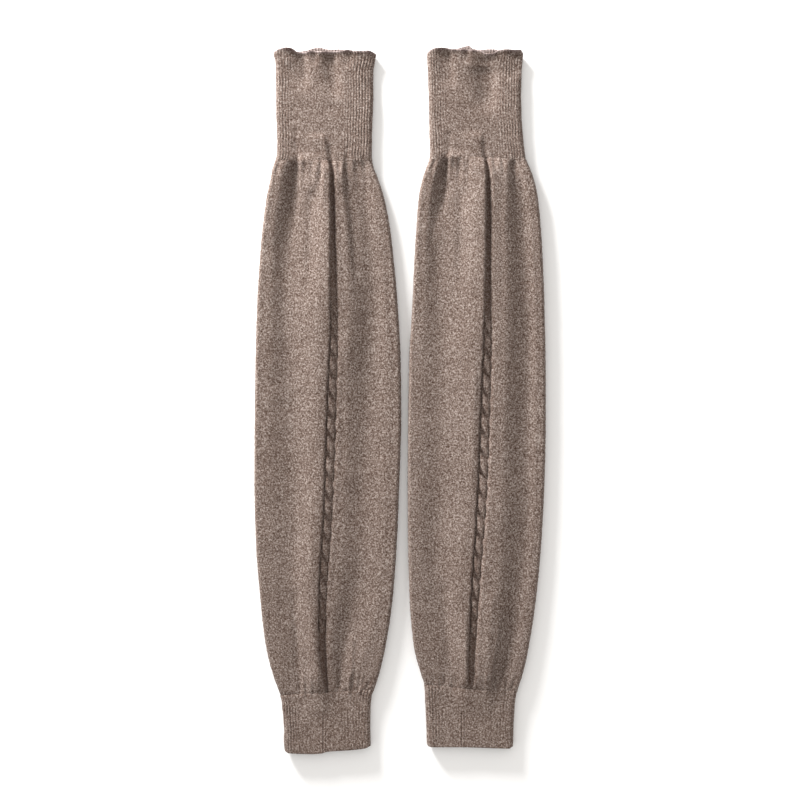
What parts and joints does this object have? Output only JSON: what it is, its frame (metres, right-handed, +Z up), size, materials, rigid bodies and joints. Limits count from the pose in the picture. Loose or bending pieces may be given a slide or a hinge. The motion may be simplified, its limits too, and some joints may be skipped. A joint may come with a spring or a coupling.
{
  "type": "pair of knee warmers",
  "caption": "Over-knee knitted knee warmers laid flat side by side: ribbed thigh bands with a wavy edge, full plain-knit legs with a cable down the front, and ribbed ankle cuffs.",
  "frame": {"origin": "middle of the pair's bounding box, on the surface that the pair lies on", "axes": "+X across the pair to the viewer's right, +Y along the warmers towards the thigh ends, +Z up, out of the front faces"},
  "size_m": [0.2817, 0.6843, 0.0165],
  "materials": {
    "marl_knit": "soft matt marl yarn, plain knit and cable",
    "marl_rib": "soft matt marl yarn, one-by-one rib"
  },
  "bodies": {
    "root": {"left_thigh_rib": "marl_rib", "left_body": "marl_knit", "left_ankle_rib": "marl_rib", "right_thigh_rib": "marl_rib", "right_body": "marl_knit", "right_ankle_rib": "marl_rib"}
  },
  "joints": []
}
